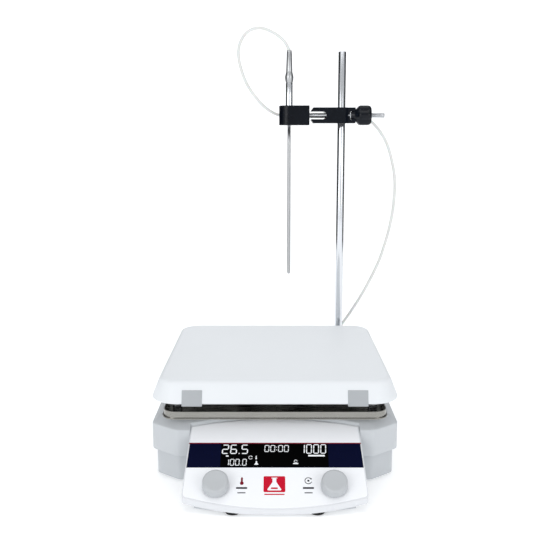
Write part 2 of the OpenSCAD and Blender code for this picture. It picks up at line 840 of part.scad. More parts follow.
module probe_ferrule() {
    r = handle_d / 2;
    color("silver") stand() translate([probe_x, rod_y, clamp_z + 42]) rotate_extrude()
        polygon([[0, 0], [r, 0], [r + 0.7, 3], [r + 1, 6.5], [r + 0.6, 10], [r - 0.4, 13], [0, 13]]);
}

module probe_sleeve() {
    color("silver") stand() translate([probe_x, rod_y, clamp_z + 55])
        cylinder(r1 = 4, r2 = 3.1, h = 27.5);
}

module probe_plug() {
    face = rear_y + 3;
    color("dimgray") stand() {
        rear_pin(socket_x, socket_z, 4, 129, face);
        rear_pin(socket_x, socket_z, 6.5, face, 152);
        translate([socket_x, 152, socket_z]) rotate([-90, 0, 0]) cylinder(r1 = 4.8, r2 = 2.4, h = 22);
    }
}

module cord_loop() {
    color("white") stand() cord_tube(loop_points, cord_d, [0, 0, 1], upper_joint / norm(upper_joint));
}

module cord_upper() {
    color("white") stand()
        cord_tube(upper_points, cord_d, upper_joint / norm(upper_joint), lower_joint / norm(lower_joint));
}

module cord_lower() {
    color("white") stand() cord_tube(lower_points, cord_d, lower_joint / norm(lower_joint), [0, -1, 0]);
}

ceramic_plate();
plate_clips();
heater_element();
insulation_board();
heater_pan();
plate_sensor();
heat_tray();
tray_standoffs();
upper_housing();
base_pan();
feet();
housing_screws();
console_cover();
panel_overlay();
display_window();
lcd_module();
display_board();
temp_encoder();
temp_plunger();
temp_shaft();
temp_knob();
speed_encoder();
speed_plunger();
speed_shaft();
speed_knob();
motor_can();
motor_stator();
motor_rotor();
motor_shaft();
motor_bearings();
motor_bracket();
motor_screws();
magnet_yoke();
drive_magnets();
main_board();
power_board();
heater_leads();
rear_plate();
mains_inlet();
fuse_drawer();
fuses();
switch_frame();
power_rocker();
data_port();
probe_socket();
rod_holder();
support_rod();
rod_jaw();
probe_jaw();
clamp_stud();
clamp_washer();
clamp_knob();
probe_sheath();
probe_handle();
probe_ferrule();
probe_sleeve();
probe_plug();
cord_loop();
cord_upper();
cord_lower();
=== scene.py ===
# %% [markdown]
# A hotplate stirrer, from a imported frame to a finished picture. The frame holds every part at its
# real place and size, and this lesson gives the parts their surfaces. Two kinds of work come up
# again and again: shapes that are worked out as whole numpy arrays, and materials that are built
# from noise and bump nodes. Lengths are written in millimetres, and heights above the worktop.

# %% Load the frame
import json
import math

import bmesh
import bpy
import numpy as np
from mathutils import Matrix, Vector


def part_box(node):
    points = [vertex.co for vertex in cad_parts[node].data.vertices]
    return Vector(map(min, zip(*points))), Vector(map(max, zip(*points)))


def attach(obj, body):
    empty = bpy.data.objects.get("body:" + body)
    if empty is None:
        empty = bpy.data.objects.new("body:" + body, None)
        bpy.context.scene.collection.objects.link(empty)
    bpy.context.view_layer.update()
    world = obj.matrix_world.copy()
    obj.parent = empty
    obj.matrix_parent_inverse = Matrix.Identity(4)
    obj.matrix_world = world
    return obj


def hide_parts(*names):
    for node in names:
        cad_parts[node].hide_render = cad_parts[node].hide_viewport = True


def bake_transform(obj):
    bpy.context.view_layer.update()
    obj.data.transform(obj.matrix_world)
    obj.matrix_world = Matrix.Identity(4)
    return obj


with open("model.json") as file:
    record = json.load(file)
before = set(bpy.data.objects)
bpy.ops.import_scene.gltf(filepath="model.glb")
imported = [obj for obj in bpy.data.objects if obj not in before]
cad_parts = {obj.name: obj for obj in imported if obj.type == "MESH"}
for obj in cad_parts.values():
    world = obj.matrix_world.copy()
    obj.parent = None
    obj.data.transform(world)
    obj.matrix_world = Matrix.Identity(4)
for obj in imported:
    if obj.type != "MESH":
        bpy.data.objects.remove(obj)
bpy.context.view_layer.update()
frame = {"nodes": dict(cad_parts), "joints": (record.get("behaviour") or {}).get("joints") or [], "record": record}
record = frame["record"]
joints = {j["name"]: j for j in frame["joints"]}
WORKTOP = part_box("feet")[0][2]
MM = 0.001
print("nodes", len(frame["nodes"]), "worktop at", round(WORKTOP, 4))

# %% [markdown]
# The camera comes first. A product picture like this is taken with a long lens from a little above
# the table, so that the upright lines stay nearly upright. The focal length is stated as an angle of
# view, because that is what decides the perspective, and the camera tips down without any shift.

# %% Camera
VIEW_ANGLE = 39.0
CAMERA_AT = (0, -893, 362)
TIP_DOWN = 10

camera_data = bpy.data.cameras.new("camera")
camera_data.angle = math.radians(VIEW_ANGLE)
camera_data.clip_start = 0.01
camera = bpy.data.objects.new("camera", camera_data)
bpy.context.scene.collection.objects.link(camera)
camera.location = (CAMERA_AT[0] * MM, CAMERA_AT[1] * MM, CAMERA_AT[2] * MM + WORKTOP)
camera.rotation_euler = (math.radians(90 - TIP_DOWN), 0, 0)
bpy.context.scene.camera = camera
print("camera at", [round(c, 3) for c in camera.location])

# %% [markdown]
# Every new surface here is a grid: a rectangle of points whose rows and columns are joined by
# quads. A grid can close on itself in one direction, like a tube, and its ends can be capped. One
# helper turns the array of points into a mesh, so the shape functions only have to do geometry.

# %% Surfaces from grids


def link_piece(mesh, name):
    """A new object at the origin that shows the mesh."""
    piece = bpy.data.objects.new(name, mesh)
    bpy.context.scene.collection.objects.link(piece)
    return piece


def grid_faces(rows, columns, wrap_rows=False, wrap_columns=True):
    """The quads of a grid of points, numbered row by row. A wrapped direction joins end to start."""
    r = np.arange(rows if wrap_rows else rows - 1)
    c = np.arange(columns if wrap_columns else columns - 1)
    i, j = (a.ravel() for a in np.meshgrid(r, c, indexing="ij"))
    down, right = (i + 1) % rows, (j + 1) % columns
    corners = [i * columns + j, i * columns + right, down * columns + right, down * columns + j]
    return np.stack(corners, 1)


def mesh_from(name, points, faces, smooth=True):
    """A mesh from an array of points in metres and a list of faces."""
    mesh = bpy.data.meshes.new(name)
    points = np.asarray(points).reshape(-1, 3).tolist()
    mesh.from_pydata(points, [], [list(map(int, f)) for f in faces])
    mesh.polygons.foreach_set("use_smooth", [smooth] * len(mesh.polygons))
    mesh.update()
    return mesh


def outward(mesh):
    """Turns all faces of a closed mesh outwards, after its doubled points are merged."""
    work = bmesh.new()
    work.from_mesh(mesh)
    bmesh.ops.remove_doubles(work, verts=work.verts, dist=1e-7)
    bmesh.ops.recalc_face_normals(work, faces=work.faces)
    work.to_mesh(mesh)
    work.free()
    return mesh


def grid_piece(name, points, wrap_rows=False, caps=(False, False)):
    """A piece from a grid of points whose columns wrap round. caps close its first and last rows."""
    rows, columns = points.shape[:2]
    faces = list(grid_faces(rows, columns, wrap_rows))
    if caps[0]:
        faces.append(list(range(columns)))
    if caps[1]:
        faces.append(list(range((rows - 1) * columns, rows * columns)))
    return link_piece(outward(mesh_from(name, points, faces)), name)


def place(points):
    """Points in millimetres above the worktop, as points in metres in the frame's own coordinates."""
    return np.asarray(points, float) * MM + np.array([0, 0, WORKTOP])


# %% [markdown]
# Two families of shapes cover most of the stirrer. A turned part, such as a rod or a knob, is a
# profile of radius and height swept round an axis. A pressed or moulded part with rounded corners is
# a profile carried round a rounded square, where each point of the path also knows which way is
# outwards. In both, the whole array comes from one broadcast, with no loop over points.

# %% Turned and carried profiles
AXIS_R = 0.05  # a solid profile starts and ends this close to its axis, and the caps close the rest
CORNERS = np.array([[1, 1], [-1, 1], [-1, -1], [1, -1]], float)


def axes_for(direction):
    """Two unit directions square to the given one."""
    d = np.asarray(direction, float) / np.linalg.norm(direction)
    helper = np.array([0, 0, 1.0]) if abs(d[2]) < 0.9 else np.array([0, 1.0, 0])
    u = np.cross(helper, d)
    u /= np.linalg.norm(u)
    return u, np.cross(d, u), d


def turned(profile, origin, direction=(0, 0, 1), steps=64, radius_of=None):
    """point = origin + height * direction + radius * (cos a * u + sin a * v), for each profile
    point and each angle a. profile is a list of (radius, height); radius_of(a, height) may scale
    the radius."""
    profile = np.asarray(profile, float)
    u, v, d = axes_for(direction)
    a = np.linspace(0, 2 * np.pi, steps, endpoint=False)
    radius = np.repeat(profile[:, :1], steps, 1)
    if radius_of is not None:
        radius = radius * radius_of(a[None, :], profile[:, 1:])
    spin = np.cos(a)[:, None] * u + np.sin(a)[:, None] * v
    axis = np.asarray(origin, float) + profile[:, 1][:, None, None] * d
    return axis + radius[..., None] * spin[None]


def turned_piece(name, profile, origin, direction=(0, 0, 1), steps=64, radius_of=None):
    """A closed turned piece, in millimetres above the worktop. The profile's ends are capped."""
    points = place(turned(profile, origin, direction, steps, radius_of))
    return grid_piece(name, points, caps=(True, True))


def rounded_square(half, radius, steps):
    """Path round a square with rounded corners: for each corner, centre + radius * (cos a, sin a)
    over a quarter turn. Returns the corners' centres and the outward directions, point by point."""
    a = np.linspace(0, np.pi / 2, steps + 1)
    a = (a[None, :] + np.arange(4)[:, None] * np.pi / 2).ravel()
    centre = np.repeat(CORNERS * (half - radius), steps + 1, 0)
    return centre, np.stack([np.cos(a), np.sin(a)], 1)


def carried(profile, half, radius, steps):
    """point = corner centre + (corner radius + offset) * outward, raised to the profile's height,
    for each profile point (offset, height) and each point of a rounded square path."""
    profile = np.asarray(profile, float)
    centre, out = rounded_square(half, radius, steps)
    plan = centre[None] + (radius + profile[:, 0][:, None, None]) * out[None]
    height = np.broadcast_to(profile[:, 1][:, None, None], plan.shape[:2] + (1,))
    return np.concatenate([plan, height], 2)


def arc(centre, radius, start, end, steps=6):
    """Points centre + radius * (cos a, sin a) from start to end degrees."""
    a = np.radians(np.linspace(start, end, steps + 1))
    return [(centre[0] + radius * math.cos(t), centre[1] + radius * math.sin(t)) for t in a]


# %% [markdown]
# A cord is a fixed length of something flexible. This one is a thin, stiff probe lead: it springs up
# out of the probe, turns over in a loop, passes behind the clamp, and swings down beside the rod to
# its plug at the back. Its line is a smooth curve through a few chosen points. Where two moving parts
# hold it, it is cut into stretches, and each stretch is a tube of its own.

# %% The probe's cord
CORD_D = 3.8
LOOP = [(18.5, 145, 473.5), (12, 146, 485), (-2, 148, 496), (-20, 150, 502), (-36, 152, 497),
        (-46, 154, 482), (-47, 156, 462), (-38, 158, 434), (-22, 159, 411), (-6, 160, 397),
        (12, 161, 391), (50, 161, 390), (84, 161, 390), (112, 161, 388)]
UPPER = [(112, 161, 388), (130, 161, 382), (148, 161, 358), (158, 162, 328), (162, 162, 300),
         (160, 162, 265), (155, 163, 236)]
LOWER = [(155, 163, 236), (144, 164, 198), (128, 166, 162), (112, 170, 132), (96, 175, 106),
         (80, 182, 82), (64, 188, 60), (54, 186, 47), (50, 180, 42.5), (50, 174, 42)]


def smooth_line(points, step=2.0):
    """The Catmull-Rom curve through the points: on each stretch half of 2 p1 + (p2 - p0) t +
    (2 p0 - 5 p1 + 4 p2 - p3) t2 + (3 p1 - p0 - 3 p2 + p3) t3, sampled about every step millimetres."""
    p = np.asarray(points, float)
    p = np.concatenate([p[:1], p, p[-1:]])
    line = []
    for p0, p1, p2, p3 in zip(p[:-3], p[1:-2], p[2:-1], p[3:]):
        n = max(2, int(round(np.linalg.norm(p2 - p1) / step)))
        t = np.linspace(0, 1, n, endpoint=False)[:, None]
        line.append(0.5 * (2 * p1 + (p2 - p0) * t + (2 * p0 - 5 * p1 + 4 * p2 - p3) * t**2
                           + (3 * p1 - p0 - 3 * p2 + p3) * t**3))
    return np.concatenate(line + [p[-1:]])


def tube_piece(name, line, diameter, sides=16):
    """A tube: point = line + radius * (cos a * u + sin a * v), where u is square to the line and to
    a fixed helper direction, and v to both."""
    helper = [0.3, 1, 0.2]
    along = np.gradient(line, axis=0)
    along /= np.linalg.norm(along, axis=1)[:, None]
    u = np.cross(along, helper)
    u /= np.linalg.norm(u, axis=1)[:, None]
    v = np.cross(along, u)
    a = np.linspace(0, 2 * np.pi, sides, endpoint=False)
    ring = np.cos(a)[None, :, None] * u[:, None] + np.sin(a)[None, :, None] * v[:, None]
    points = place(line[:, None] + diameter / 2 * ring)
    return grid_piece(name, points, caps=(True, True))


def cord_piece(name, node, points):
    """One stretch of the cord: a tube along a smooth line through the points, which stands for a frame part."""
    line = smooth_line(points)
    piece = tube_piece(name, line, CORD_D)
    length = float(np.linalg.norm(np.diff(line, axis=0), axis=1).sum()) * MM
    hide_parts(node)
    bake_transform(piece)
    print(name, round(length * 1000), "mm")
    return piece, length


cord_lower, len_lower = cord_piece("probe_cord_lower", "cord_lower", LOWER[::-1])
cord_upper, len_upper = cord_piece("probe_cord_upper", "cord_upper", UPPER[::-1])
cord_loop, len_loop = cord_piece("probe_cord_loop", "cord_loop", LOOP[::-1])
print("whole cord", round((len_lower + len_upper + len_loop) * 1000), "mm")

# %% [markdown]
# The stage is a pale floor that curves up behind the stirrer, so that no horizon shows, under three
# large soft lamps. Large lamps matter more than strong ones here: the polished rod, the plate's
# glaze and the glossy film all show the lamps as their highlights, and a small lamp would leave a
# hard white spot instead of the long soft band that such parts have in a studio. In an all-white
# room a polished rod is almost invisible, so photographers stand dark cards, called flags, to its
# left and right, and white ones beside the lens. The rod shows them as dark edges and bright bands.

# %% Stage and lamps


def sweep(width, front, back, height, bend=0.5):
    """The floor and backdrop: a flat run, a quarter circle of radius bend, and an upright run,
    pulled along X."""
    curve = arc((back - bend, bend), bend, -90, 0, 12)
    line = np.array([(-front, 0), (back - bend, 0)] + curve + [(back, height)])
    left = np.column_stack([np.full(len(line), -width / 2), line])
    grid = np.stack([left, left * [-1, 1, 1]], 1) + np.array([0, 0, WORKTOP])
    faces = grid_faces(len(line), 2, wrap_columns=False)
    return link_piece(mesh_from("floor", grid, faces), "floor")


def stage_material(name, colour, glow=0.0):
    """A plain matt finish for the stage. glow makes up for the lamps' fall-off over a large surface."""
    mat = bpy.data.materials.new(name)
    mat.use_nodes = True
    shader = mat.node_tree.nodes["Principled BSDF"]
    shader.inputs["Base Color"].default_value = (*colour, 1)
    shader.inputs["Roughness"].default_value = 0.7
    shader.inputs["Specular IOR Level"].default_value = 0.1
    shader.inputs["Emission Color"].default_value = (*colour, 1)
    shader.inputs["Emission Strength"].default_value = glow
    return mat


def card(name, start, end, colour=(0.01, 0.01, 0.012), glow=0.0, low=-0.4, high=1.4):
    """An upright card between two floor points. It shows in polished surfaces alone, as a dark or
    a bright band."""
    corners = [(*start, low), (*end, low), (*end, high), (*start, high)]
    item = link_piece(mesh_from(name, corners, [(0, 1, 2, 3)], smooth=False), name)
    item.data.materials.append(stage_material(name, colour, glow))
    for ray in ("camera", "diffuse", "shadow", "transmission"):
        setattr(item, "visible_" + ray, False)


def lamp(name, at, aim, size, power):
    """A square soft lamp that looks from one point to another, in metres from the worktop's middle."""
    data = bpy.data.lights.new(name, "AREA")
    data.size = size
    data.energy = power
    item = bpy.data.objects.new(name, data)
    bpy.context.scene.collection.objects.link(item)
    item.location = Vector(at) + Vector((0, 0, WORKTOP))
    look = Vector(aim) + Vector((0, 0, WORKTOP)) - item.location
    item.rotation_euler = look.to_track_quat("-Z", "Y").to_euler()


AIM = (0, 0, 0.1)
WHITE, CARD_GLOW = (1, 1, 1), 0.7
floor = sweep(width=30.0, front=15.0, back=2.5, height=3.0)
floor.data.materials.append(stage_material("pale floor", (0.93, 0.935, 0.94), 0.34))
card("left_flag", (-0.45, 1.5), (-1.1, -0.1))
card("right_flag", (0.65, 1.5), (1.2, -0.1))
card("left_white_card", (-2.2, -1.4), (-0.9, -2.4), WHITE, CARD_GLOW, 0.0, 2.2)
card("right_white_card", (0.8, -2.4), (1.5, -2.1), WHITE, CARD_GLOW, 0.0, 2.2)
lamp("overhead", (0.0, -0.2, 1.9), AIM, size=1.6, power=7)
lamp("front left", (-1.3, -1.7, 0.9), AIM, size=1.2, power=10)
lamp("front right", (1.4, -1.5, 0.8), AIM, size=1.1, power=7)
world = bpy.data.worlds.new("studio")
world.use_nodes = True
sky = world.node_tree.nodes["Background"]
sky.inputs["Color"].default_value = (0.97, 0.985, 1.0, 1)
sky.inputs["Strength"].default_value = 0.62
bpy.context.scene.world = world
bpy.context.scene.view_settings.view_transform = "Standard"

# %% [markdown]
# A material starts from the same few nodes each time. Noise on Object coordinates is laid out in
# real metres, so a scale of 1000 is a pattern about a millimetre wide on every part. The same noise
# does three jobs: it shifts the colour a little, it breaks up the roughness so that highlights
# aren't perfectly even, and through a Bump node it gives the surface its fine relief.

# %% Material helpers


class Finish:
    """A material under construction, with short calls for the nodes that these finishes use."""

    def __init__(self, name, colour, roughness, metallic=0.0, specular=0.5):
        self.mat = bpy.data.materials.new(name)
        self.mat.use_nodes = True
        self.tree = self.mat.node_tree
        self.shader = self.tree.nodes["Principled BSDF"]
        self.colour = tuple(colour)
        self.set("Base Color", (*colour, 1))
        self.set("Roughness", roughness)
        self.set("Metallic", metallic)
        self.set("Specular IOR Level", specular)

    def set(self, socket, value):
        self.shader.inputs[socket].default_value = value
        return self

    def node(self, kind, **settings):
        item = self.tree.nodes.new(kind)
        for key, value in settings.items():
            setattr(item, key, value)
        return item

    def link(self, start, end):
        self.tree.links.new(start, end)

    def coords(self, stretch=(1, 1, 1)):
        """Object coordinates in metres, stretched by a Mapping node."""
        mapping = self.node("ShaderNodeMapping")
        mapping.inputs["Scale"].default_value = stretch
        self.link(self.node("ShaderNodeTexCoord").outputs["Object"], mapping.inputs["Vector"])
        return mapping.outputs["Vector"]

    def noise(self, scale, detail=3, stretch=(1, 1, 1)):
        """Noise from 0 to 1."""
        item = self.node("ShaderNodeTexNoise")
        item.inputs["Scale"].default_value = scale
        item.inputs["Detail"].default_value = detail
        self.link(self.coords(stretch), item.inputs["Vector"])
        return item.outputs["Fac"]

    def spread(self, value, low, high):
        """A value from 0.3 to 0.7, where most of the noise lies, moved to low to high."""
        item = self.node("ShaderNodeMapRange")
        for key, number in (("From Min", 0.3), ("From Max", 0.7), ("To Min", low), ("To Max", high)):
            item.inputs[key].default_value = number
        self.link(value, item.inputs["Value"])
        return item.outputs["Result"]

    def mix(self, factor, first, second):
        """One colour where factor is 0 and the other where it is 1. A Mix node has several sockets
        called A, B and Result, and its sockets for colours are inputs 6 and 7 and output 2."""
        item = self.node("ShaderNodeMix", data_type="RGBA")
        self.link(factor, item.inputs["Factor"])
        item.inputs[6].default_value = (*first, 1)
        item.inputs[7].default_value = (*second, 1)
        return item.outputs[2]

    def tint(self, value, amount):
        """The colour drifts by amount, lighter and darker, with the value."""
        light = tuple(min(c * (1 + amount), 1) for c in self.colour)
        dark = tuple(c * (1 - amount) for c in self.colour)
        self.link(self.mix(self.spread(value, 0, 1), dark, light), self.shader.inputs["Base Color"])
        return self

    def rough(self, value, low, high):
        """The roughness follows the value from low to high."""
        self.link(self.spread(value, low, high), self.shader.inputs["Roughness"])
        return self

    def bump(self, height, depth, strength=1.0):
        """Relief of that depth, in metres."""
        item = self.node("ShaderNodeBump")
        item.inputs["Strength"].default_value = strength
        item.inputs["Distance"].default_value = depth
        self.link(height, item.inputs["Height"])
        self.link(item.outputs["Normal"], self.shader.inputs["Normal"])
        return self


# %% [markdown]
# Moulded plastic isn't smooth. The mould of a housing is spark-eroded, which leaves a fine even
# grain that hides scratches, so its highlights are broad. The glossy parts come from a polished
# mould. Both get a faint drift in colour, as a large moulding has, and the knobs and the pan are a
# shade apart from the housing because they come from other batches. The plate's glaze is kept satin,
# with slow patterns only: fine noise on a flat white face would show as speckles.

# %% Plastic, rubber and film


def grained_plastic(name, colour, roughness=0.45, grain=1600, depth=0.00003):
    """Moulded plastic with an even spark-eroded grain."""
    f = Finish(name, colour, roughness)
    fine = f.noise(grain, 2)
    f.tint(f.noise(14, 4), 0.015)
    f.rough(fine, roughness - 0.05, roughness + 0.07)
    f.bump(fine, depth, 0.6)
    return f.mat


def gloss_plastic(name, colour, roughness=0.22):
    """Plastic from a polished mould, with the slight waviness that shows in its highlights."""
    f = Finish(name, colour, roughness)
    wave = f.noise(45, 2)
    f.tint(f.noise(20, 3), 0.012)
    f.rough(f.noise(380, 3), roughness - 0.04, roughness + 0.05)
    f.bump(wave, 0.00012, 0.25)
    return f.mat


def moulded_rubber(name, colour):
    """Dull rubber with a powdery bloom and a coarse grain."""
    f = Finish(name, colour, 0.75, specular=0.3)
    grain = f.noise(900, 4)
    f.tint(f.noise(60, 4), 0.25)
    f.rough(grain, 0.65, 0.85)
    f.bump(grain, 0.00008, 0.7)
    return f.mat


def printed_film(name, colour, sheen=0.12):
    """Printed film with an anti-glare face: even ink, a low sheen, and a very fine texture."""
    f = Finish(name, colour, 0.3, specular=sheen)
    f.tint(f.noise(30, 2), 0.008)
    f.rough(f.noise(700, 2), 0.26, 0.36)
    f.bump(f.noise(2600, 1), 0.000008, 0.5)
    return f.mat


def glazed_white():
    """White glaze on the plate: satin, with a slow drift in colour and gloss and almost no relief."""
    f = Finish("glazed white", (0.785, 0.81, 0.835), 0.44, specular=0.15)
    f.set("Coat Weight", 0.03).set("Coat Roughness", 0.1)
    f.tint(f.noise(9, 4), 0.008)
    f.rough(f.noise(12, 1), 0.42, 0.46)
    f.bump(f.noise(28, 1), 0.00001, 0.1)
    return f.mat


def silicone_cord():
    """The cord's white jacket: matt and slightly translucent, with a fine grain."""
    f = Finish("cord jacket", (0.72, 0.735, 0.72), 0.5, specular=0.25)
    f.set("Subsurface Weight", 0.08).set("Subsurface Scale", 0.002)
    grain = f.noise(900, 3)
    f.tint(f.noise(70, 3), 0.03)
    f.rough(grain, 0.44, 0.58)
    f.bump(grain, 0.00003, 0.5)
    return f.mat


# %% [markdown]
# The metals differ by how they were finished. A brushed or rolled sheet has long thin streaks, made
# here from noise that is drawn out along one axis. A turned part has rings round its axis, from
# noise that is squeezed along it, and a polished rod keeps only faint ones. Cast and coated parts
# are softer: their relief is round and slightly pitted, and it is the same in every direction.

# %% Metals


def brushed_sheet(name, colour, roughness):
    """Rolled sheet with fine streaks along X."""
    f = Finish(name, colour, roughness, metallic=1.0)
    streak = f.noise(1500, 4, (0.02, 1, 1))
    f.tint(f.noise(25, 3), 0.04)
    f.rough(streak, roughness - 0.08, roughness + 0.12)
    f.bump(streak, 0.00001, 0.5)
    f.set("Anisotropic", 0.4)
    return f.mat


def turned_steel(name, colour, roughness):
    """Steel with faint rings from turning or polishing, level ones, as on an upright bar."""
    f = Finish(name, colour, roughness, metallic=1.0)
    ring = f.noise(60, 2, (1, 1, 60))
    f.tint(f.noise(40, 3), 0.02)
    f.rough(ring, roughness - 0.03, roughness + 0.05)
    f.bump(ring, 0.000002, 0.3)
    return f.mat


def pebbled_coat(name, colour, roughness, sheen=0.3):
    """Paint or powder on a cast or moulded part: a fine pebbled skin that catches light on its edges."""
    f = Finish(name, colour, roughness, specular=sheen)
    pebble = f.noise(1100, 3)
    f.tint(f.noise(50, 3), 0.25)
    f.rough(pebble, roughness - 0.05, roughness + 0.07)
    f.bump(pebble, 0.00002, 0.5)
    return f.mat


def die_cast(name, colour=(0.42, 0.43, 0.44), roughness=0.42):
    """Bare die-cast alloy with a soft flow pattern."""
    f = Finish(name, colour, roughness, metallic=0.9)
    flow = f.noise(120, 5)
    f.tint(flow, 0.1)
    f.rough(flow, roughness - 0.08, roughness + 0.12)
    f.bump(f.noise(1400, 3), 0.00003, 0.6)
    return f.mat


# %% [markdown]
# The parts inside are seen only when the stirrer is taken apart, yet each is made of something: a
# circuit board shows copper tracks under green lacquer, a winding is rows of enamelled wire, and
# ceramic fibre board is soft and felted. Each of these is one more pattern over the same helpers.

# %% Materials of the inner parts


def circuit_board():
    """Green lacquer over tracks: a brick pattern, fine and long, marks where the copper lies."""
    f = Finish("circuit board", (0.012, 0.11, 0.05), 0.35)
    track = f.node("ShaderNodeTexBrick")
    f.link(f.coords(), track.inputs["Vector"])
    track.inputs["Scale"].default_value = 160
    track.inputs["Mortar Size"].default_value = 0.012
    track.inputs["Color1"].default_value = (0.012, 0.11, 0.05, 1)
    track.inputs["Color2"].default_value = (0.014, 0.13, 0.06, 1)
    track.inputs["Mortar"].default_value = (0.05, 0.26, 0.11, 1)
    f.link(track.outputs["Color"], f.shader.inputs["Base Color"])
    f.bump(track.outputs["Fac"], 0.00003, 0.5)
    f.rough(f.noise(300, 3), 0.28, 0.42)
    return f.mat


def enamelled_winding():
    """Rows of enamelled copper wire, as fine bands along the winding's axis."""
    f = Finish("enamelled winding", (0.42, 0.16, 0.05), 0.35, metallic=0.7)
    band = f.node("ShaderNodeTexWave", bands_direction="Z")
    f.link(f.coords(), band.inputs["Vector"])
    band.inputs["Scale"].default_value = 420
    band.inputs["Distortion"].default_value = 0.6
    f.tint(band.outputs["Fac"], 0.3)
    f.bump(band.outputs["Fac"], 0.0002, 0.8)
    return f.mat


def felted_fibre():
    """Ceramic fibre board or a woven sleeve: matt, soft, with a short random nap."""
    f = Finish("felted fibre", (0.72, 0.68, 0.60), 0.9, specular=0.1)
    nap = f.noise(700, 6)
    f.tint(nap, 0.08)
    f.bump(nap, 0.0004, 0.8)
    return f.mat


def oxidised_strip():
    """Heater alloy darkened by use, with patches where the oxide is thicker."""
    f = Finish("oxidised strip", (0.16, 0.14, 0.13), 0.5, metallic=0.8)
    patch = f.noise(60, 5)
    f.tint(patch, 0.35)
    f.rough(patch, 0.38, 0.62)
    f.bump(f.noise(900, 3), 0.00004, 0.5)
    return f.mat


def fuse_glass():
    """Clear glass tube of a fuse."""
    f = Finish("fuse glass", (0.93, 0.97, 0.97), 0.05)
    f.set("Transmission Weight", 0.85).set("IOR", 1.5)
    f.rough(f.noise(200, 3), 0.03, 0.1)
    f.bump(f.noise(200, 2), 0.00002, 0.2)
    return f.mat


# %% [markdown]
# The record gives each part a slot, which is the name of the stuff that it is made of. One table
# turns slots into materials, so that parts of the same stuff share one material, and a piece made
# later finds its finish by name. The numbers of a colour are amounts of light, as the shader takes
# them, and are smaller than the numbers that a paint program shows for the same colour.

# %% Finishes by the record's slots
FINISH = {
    "white_ceramic": glazed_white(),
    "clip_grey": grained_plastic("grey enamelled clip", (0.40, 0.42, 0.44), 0.4, 900, 0.00002),
    "heater_alloy": oxidised_strip(),
    "ceramic_fibre": felted_fibre(),
    # Brushed steel, but far darker than bare stainless: partly the sheet's own grey, mostly painted shade for the
    # shadow under the plate's overhang.
    "stainless_sheet": brushed_sheet("stainless sheet with painted shade", (0.29, 0.285, 0.265), 0.24),
    "bright_steel": turned_steel("bright steel", (0.50, 0.51, 0.53), 0.24),
    "housing_grey": grained_plastic("housing plastic", (0.565, 0.59, 0.615)),
    "base_grey": grained_plastic("base plastic", (0.53, 0.555, 0.58), 0.5),
    "cover_white": gloss_plastic("cover plastic", (0.74, 0.755, 0.785)),
    "film_white": printed_film("white film", (0.94, 0.955, 0.985)),
    "film_navy": printed_film("navy film", (0.0016, 0.003, 0.022), 0.02),
    "lcd_black": printed_film("display black", (0.0004, 0.0004, 0.0006), 0.01),
    "board_green": circuit_board(),
    "die_cast": die_cast("die-cast alloy"),
    "white_nylon": gloss_plastic("white nylon", (0.75, 0.74, 0.68), 0.4),
    "knob_grey": grained_plastic("knob plastic", (0.49, 0.51, 0.53), 0.42, 2200, 0.00002),
    "copper_winding": enamelled_winding(),
    "dark_steel": die_cast("dark steel", (0.12, 0.125, 0.135), 0.35),
    "magnet_black": die_cast("sintered magnet", (0.045, 0.045, 0.05), 0.5),
    "wire_sleeve": felted_fibre(),
    "plate_grey": pebbled_coat("grey painted plate", (0.21, 0.225, 0.24), 0.4),
    "inlet_black": pebbled_coat("black inlet plastic", (0.010, 0.010, 0.011), 0.34),
    "fuse_glass": fuse_glass(),
    "clamp_black": pebbled_coat("clamp coating", (0.003, 0.0045, 0.008), 0.22, 0.16),
    "knob_black": pebbled_coat("black knob plastic", (0.003, 0.0045, 0.008), 0.2, 0.22),
    "polished_steel": turned_steel("polished steel", (0.70, 0.72, 0.75), 0.14),
    "sheath_steel": turned_steel("satin sheath", (0.44, 0.45, 0.46), 0.36),
    "foot_rubber": moulded_rubber("foot rubber", (0.012, 0.012, 0.012)),
    "plug_black": grained_plastic("plug plastic", (0.02, 0.02, 0.022), 0.4, 1200),
    "cord_white": silicone_cord(),
}
SLOT_OF = {s["node"]: s["material_slot"] for s in record["subparts"]}
BODY_OF = {node: body for body, nodes in record["behaviour"]["bodies"].items() for node in nodes}
for node, obj in frame["nodes"].items():
    obj.data.materials.clear()
    obj.data.materials.append(FINISH[SLOT_OF[node]])
for cord in (cord_loop, cord_upper, cord_lower):
    cord.data.materials.append(FINISH["cord_white"])
print("finishes", len(FINISH), "on", len(SLOT_OF), "nodes")

# %% [markdown]
# The frame's parts have knife-sharp edges, which no moulded, cast or cut part has. The cure is a
# softened copy: the part's own mesh with its doubled points merged, flat neighbours joined into
# whole faces, and a narrow bevel on every edge that turns by more than 30 degrees. The bevel is what
# catches the light along an edge. Weighted normals keep the flat faces flat next to it.

# %% Softened copies


def stand_in(piece, node):
    """Gives a new piece the finish and the body of the frame part that it stands for."""
    piece.data.materials.append(FINISH[SLOT_OF[node]])
    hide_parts(node)
    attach(piece, BODY_OF[node])
    return piece


def softened(node, width, segments=2, angle=30):
    """A bevelled copy of a frame part that stands for it. width is the bevel's, in millimetres, and
    edges that turn by more than angle degrees get it."""
    work = bmesh.new()
    work.from_mesh(frame["nodes"][node].data)
    bmesh.ops.remove_doubles(work, verts=work.verts, dist=2e-6)
    bmesh.ops.dissolve_limit(work, angle_limit=math.radians(0.4), verts=work.verts, edges=work.edges)
    mesh = bpy.data.meshes.new(node + "_softened")
    work.to_mesh(mesh)
    work.free()
    mesh.polygons.foreach_set("use_smooth", [True] * len(mesh.polygons))
    piece = link_piece(mesh, node + "_softened")
    bevel = piece.modifiers.new("soft edges", "BEVEL")
    bevel.width = width * MM
    bevel.segments = segments
    bevel.limit_method = "ANGLE"
    bevel.angle_limit = math.radians(angle)
    bevel.use_clamp_overlap = True
    normals = piece.modifiers.new("flat faces", "WEIGHTED_NORMAL")
    normals.keep_sharp = True
    return stand_in(piece, node)


